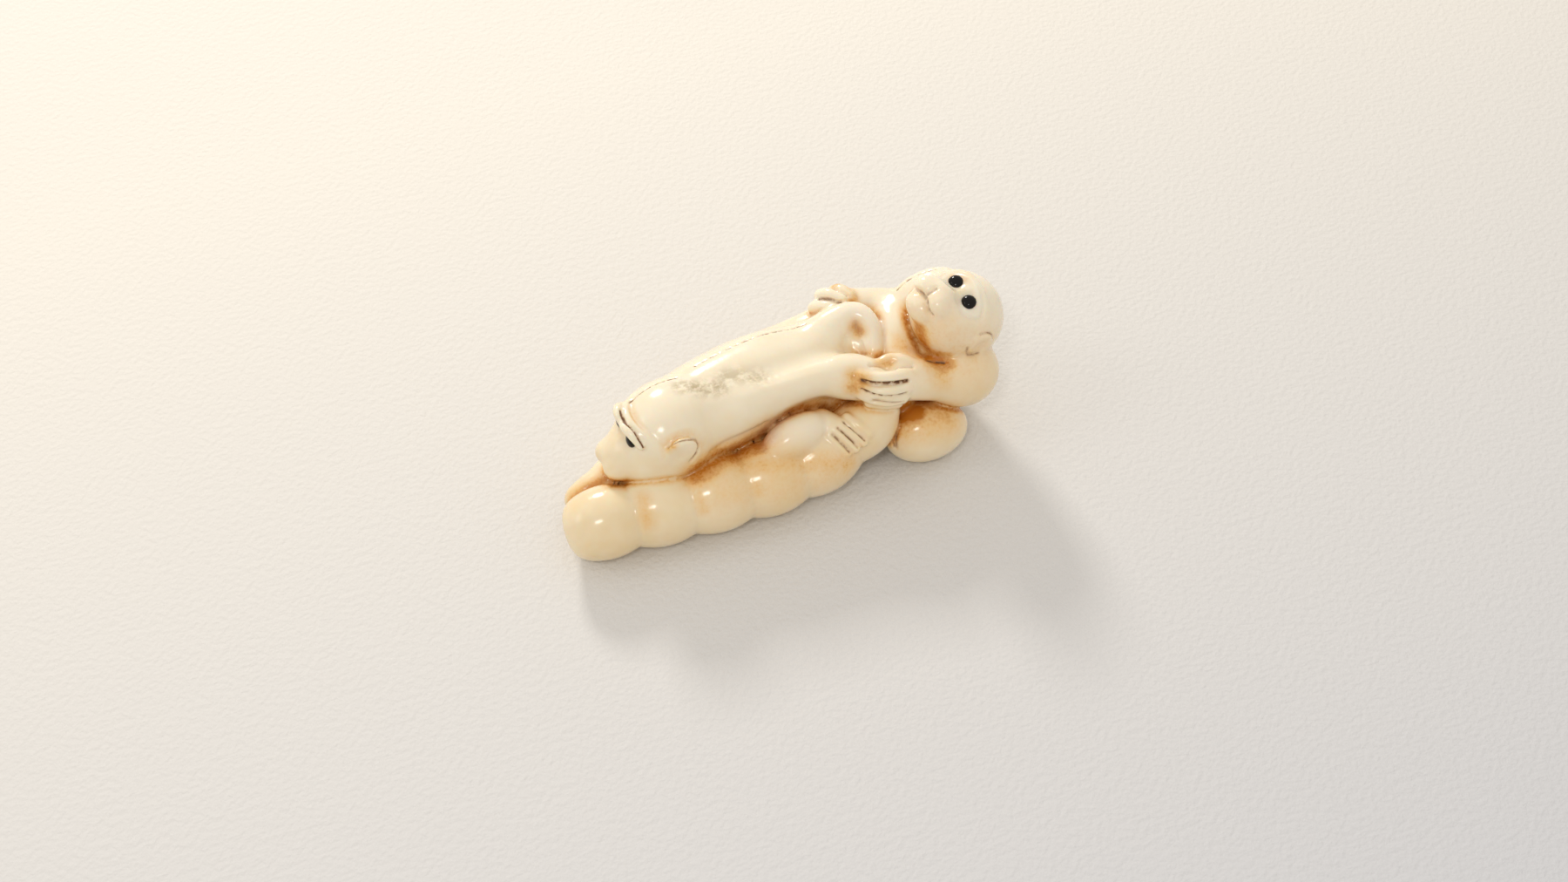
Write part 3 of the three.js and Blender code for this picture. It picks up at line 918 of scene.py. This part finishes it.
def eye_peg(name, centre, turn):
    around, rows = 40, 14
    rings = []
    for row in range(rows + 1):
        angle = np.pi / 2 * row / rows
        rings.append((eye_radius * 0.62 * np.cos(angle) - 0.12, eye_radius * np.sin(angle)))
    rings.append((-0.9, eye_radius * 0.8))
    corners = []
    for ahead, radius in rings[1:]:
        for step in range(around):
            angle = 2 * np.pi * step / around
            corners.append(centre + np.array([ahead, radius * np.cos(angle), radius * np.sin(angle)]) @ turn)
    top = len(corners)
    corners.append(centre + np.array([rings[0][0], 0, 0]) @ turn)
    corners.append(centre + np.array([rings[-1][0], 0, 0]) @ turn)
    faces = []
    last = (len(rings) - 2) * around
    for step in range(around):
        after = (step + 1) % around
        faces.append((top, step, after))
        faces.append((top + 1, last + after, last + step))
        for row in range(len(rings) - 2):
            a, b = row * around, (row + 1) * around
            faces.append((a + step, b + step, b + after, a + after))
    mesh = bpy.data.meshes.new(name)
    mesh.from_pydata(to_frame(corners).tolist(), [], faces)
    mesh.polygons.foreach_set("use_smooth", np.ones(len(faces), bool))
    mesh.materials.append(eye_black)
    peg = bpy.data.objects.new(name, mesh)
    bpy.context.collection.objects.link(peg)
    return peg


for node_name, centre in eye_centres.items():
    turn = head_a.turn if "_A_" in node_name else head_b.turn
    peg = eye_peg(node_name + "_peg", centre, turn)
    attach(peg, "root")
    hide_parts(node_name)

# ==== The table, the light and the camera ==================================================
# A plain sheet of warm white paper that the netsuke lies on, a soft light high on its far side
# with two weak ones to fill the shade, and the camera looking down on it.

paper_mesh = bpy.data.meshes.new("paper")
half = 0.6
sheet_corners = [(-half, -half, 0), (half, -half, 0), (half, half, 0), (-half, half, 0)]
paper_mesh.from_pydata(sheet_corners, [], [(0, 1, 2, 3)])
paper = bpy.data.objects.new("paper", paper_mesh)
bpy.context.collection.objects.link(paper)
paper_material, paper_nodes, paper_shader = new_material("warm_paper")
paper_place = node(paper_nodes, "ShaderNodeTexCoord").outputs["Object"]
# Painted shade: the paper's colour runs from warm white to a darker, cooler grey towards the near edge and a
# little to the right, standing in for the lamp's light falling off across the sheet.
falloff_direction = {0: paper_place, 1: (0.3, -5.2, 0)}
falloff_along = node(paper_nodes, "ShaderNodeVectorMath", falloff_direction, operation="DOT_PRODUCT")
falloff_range = {"Value": falloff_along.outputs["Value"], "From Min": -0.35, "From Max": 0.68}
painted_falloff = node(paper_nodes, "ShaderNodeMapRange", falloff_range)
warm_white = (0.84, 0.80, 0.735, 1)
painted_shade_grey = (0.52, 0.54, 0.60, 1)
paper_tint_with_falloff = mixed(paper_nodes, painted_falloff.outputs[0], warm_white, painted_shade_grey)
paper_nodes.links.new(paper_tint_with_falloff, paper_shader.inputs["Base Color"])
paper_shader.inputs["Roughness"].default_value = 0.8
grain = node(paper_nodes, "ShaderNodeTexNoise", {"Vector": paper_place, "Scale": 1500, "Detail": 4})
tooth_relief = {"Strength": 0.5, "Distance": 0.0003, "Height": grain.outputs["Fac"]}
tooth = node(paper_nodes, "ShaderNodeBump", tooth_relief)
paper_nodes.links.new(tooth.outputs[0], paper_shader.inputs["Normal"])
paper_mesh.materials.append(paper_material)


def soft_light(name, place, aim, size, power, colour):
    lamp = bpy.data.lights.new(name, "AREA")
    lamp.shape = "RECTANGLE"
    lamp.size, lamp.size_y = size
    lamp.energy = power
    lamp.color = colour
    light = bpy.data.objects.new(name, lamp)
    light.location = place
    light.rotation_euler = (Vector(aim) - Vector(place)).to_track_quat("-Z", "Y").to_euler()
    bpy.context.collection.objects.link(light)


soft_light("key", (0.0, 0.56, 0.335), (0, 0, 0), (0.115, 0.115), 2.0, (1, 0.965, 0.91))
soft_light("near_lamp", (-0.10, -0.17, 0.29), (0, 0, 0), (0.045, 0.045), 0.16, (1, 0.98, 0.95))
soft_light("fill", (-0.42, 0.10, 0.36), (0, 0, 0), (0.2, 0.2), 0.2, (1, 0.97, 0.93))
world = bpy.data.worlds.new("soft_room")
bpy.context.scene.world = world
world.use_nodes = True
world.node_tree.nodes["Background"].inputs["Color"].default_value = (1, 0.955, 0.885, 1)
world.node_tree.nodes["Background"].inputs["Strength"].default_value = 0.74

camera_turn = np.radians(20)
camera_rise = np.radians(50)
camera_distance = 240.0
look_at = np.array([0, 0, 1.2])
back = np.array([-np.sin(camera_turn) * np.cos(camera_rise),
                 -np.cos(camera_turn) * np.cos(camera_rise), np.sin(camera_rise)])
camera_data = bpy.data.cameras.new("camera")
camera_data.lens = 50
camera_data.sensor_width = 36
camera_data.clip_start = 0.01
camera = bpy.data.objects.new("camera", camera_data)
camera.location = to_frame(look_at + back * camera_distance)
camera.rotation_euler = Vector(back).to_track_quat("Z", "Y").to_euler()
bpy.context.collection.objects.link(camera)
bpy.context.scene.camera = camera
bpy.context.scene.view_settings.view_transform = "Standard"
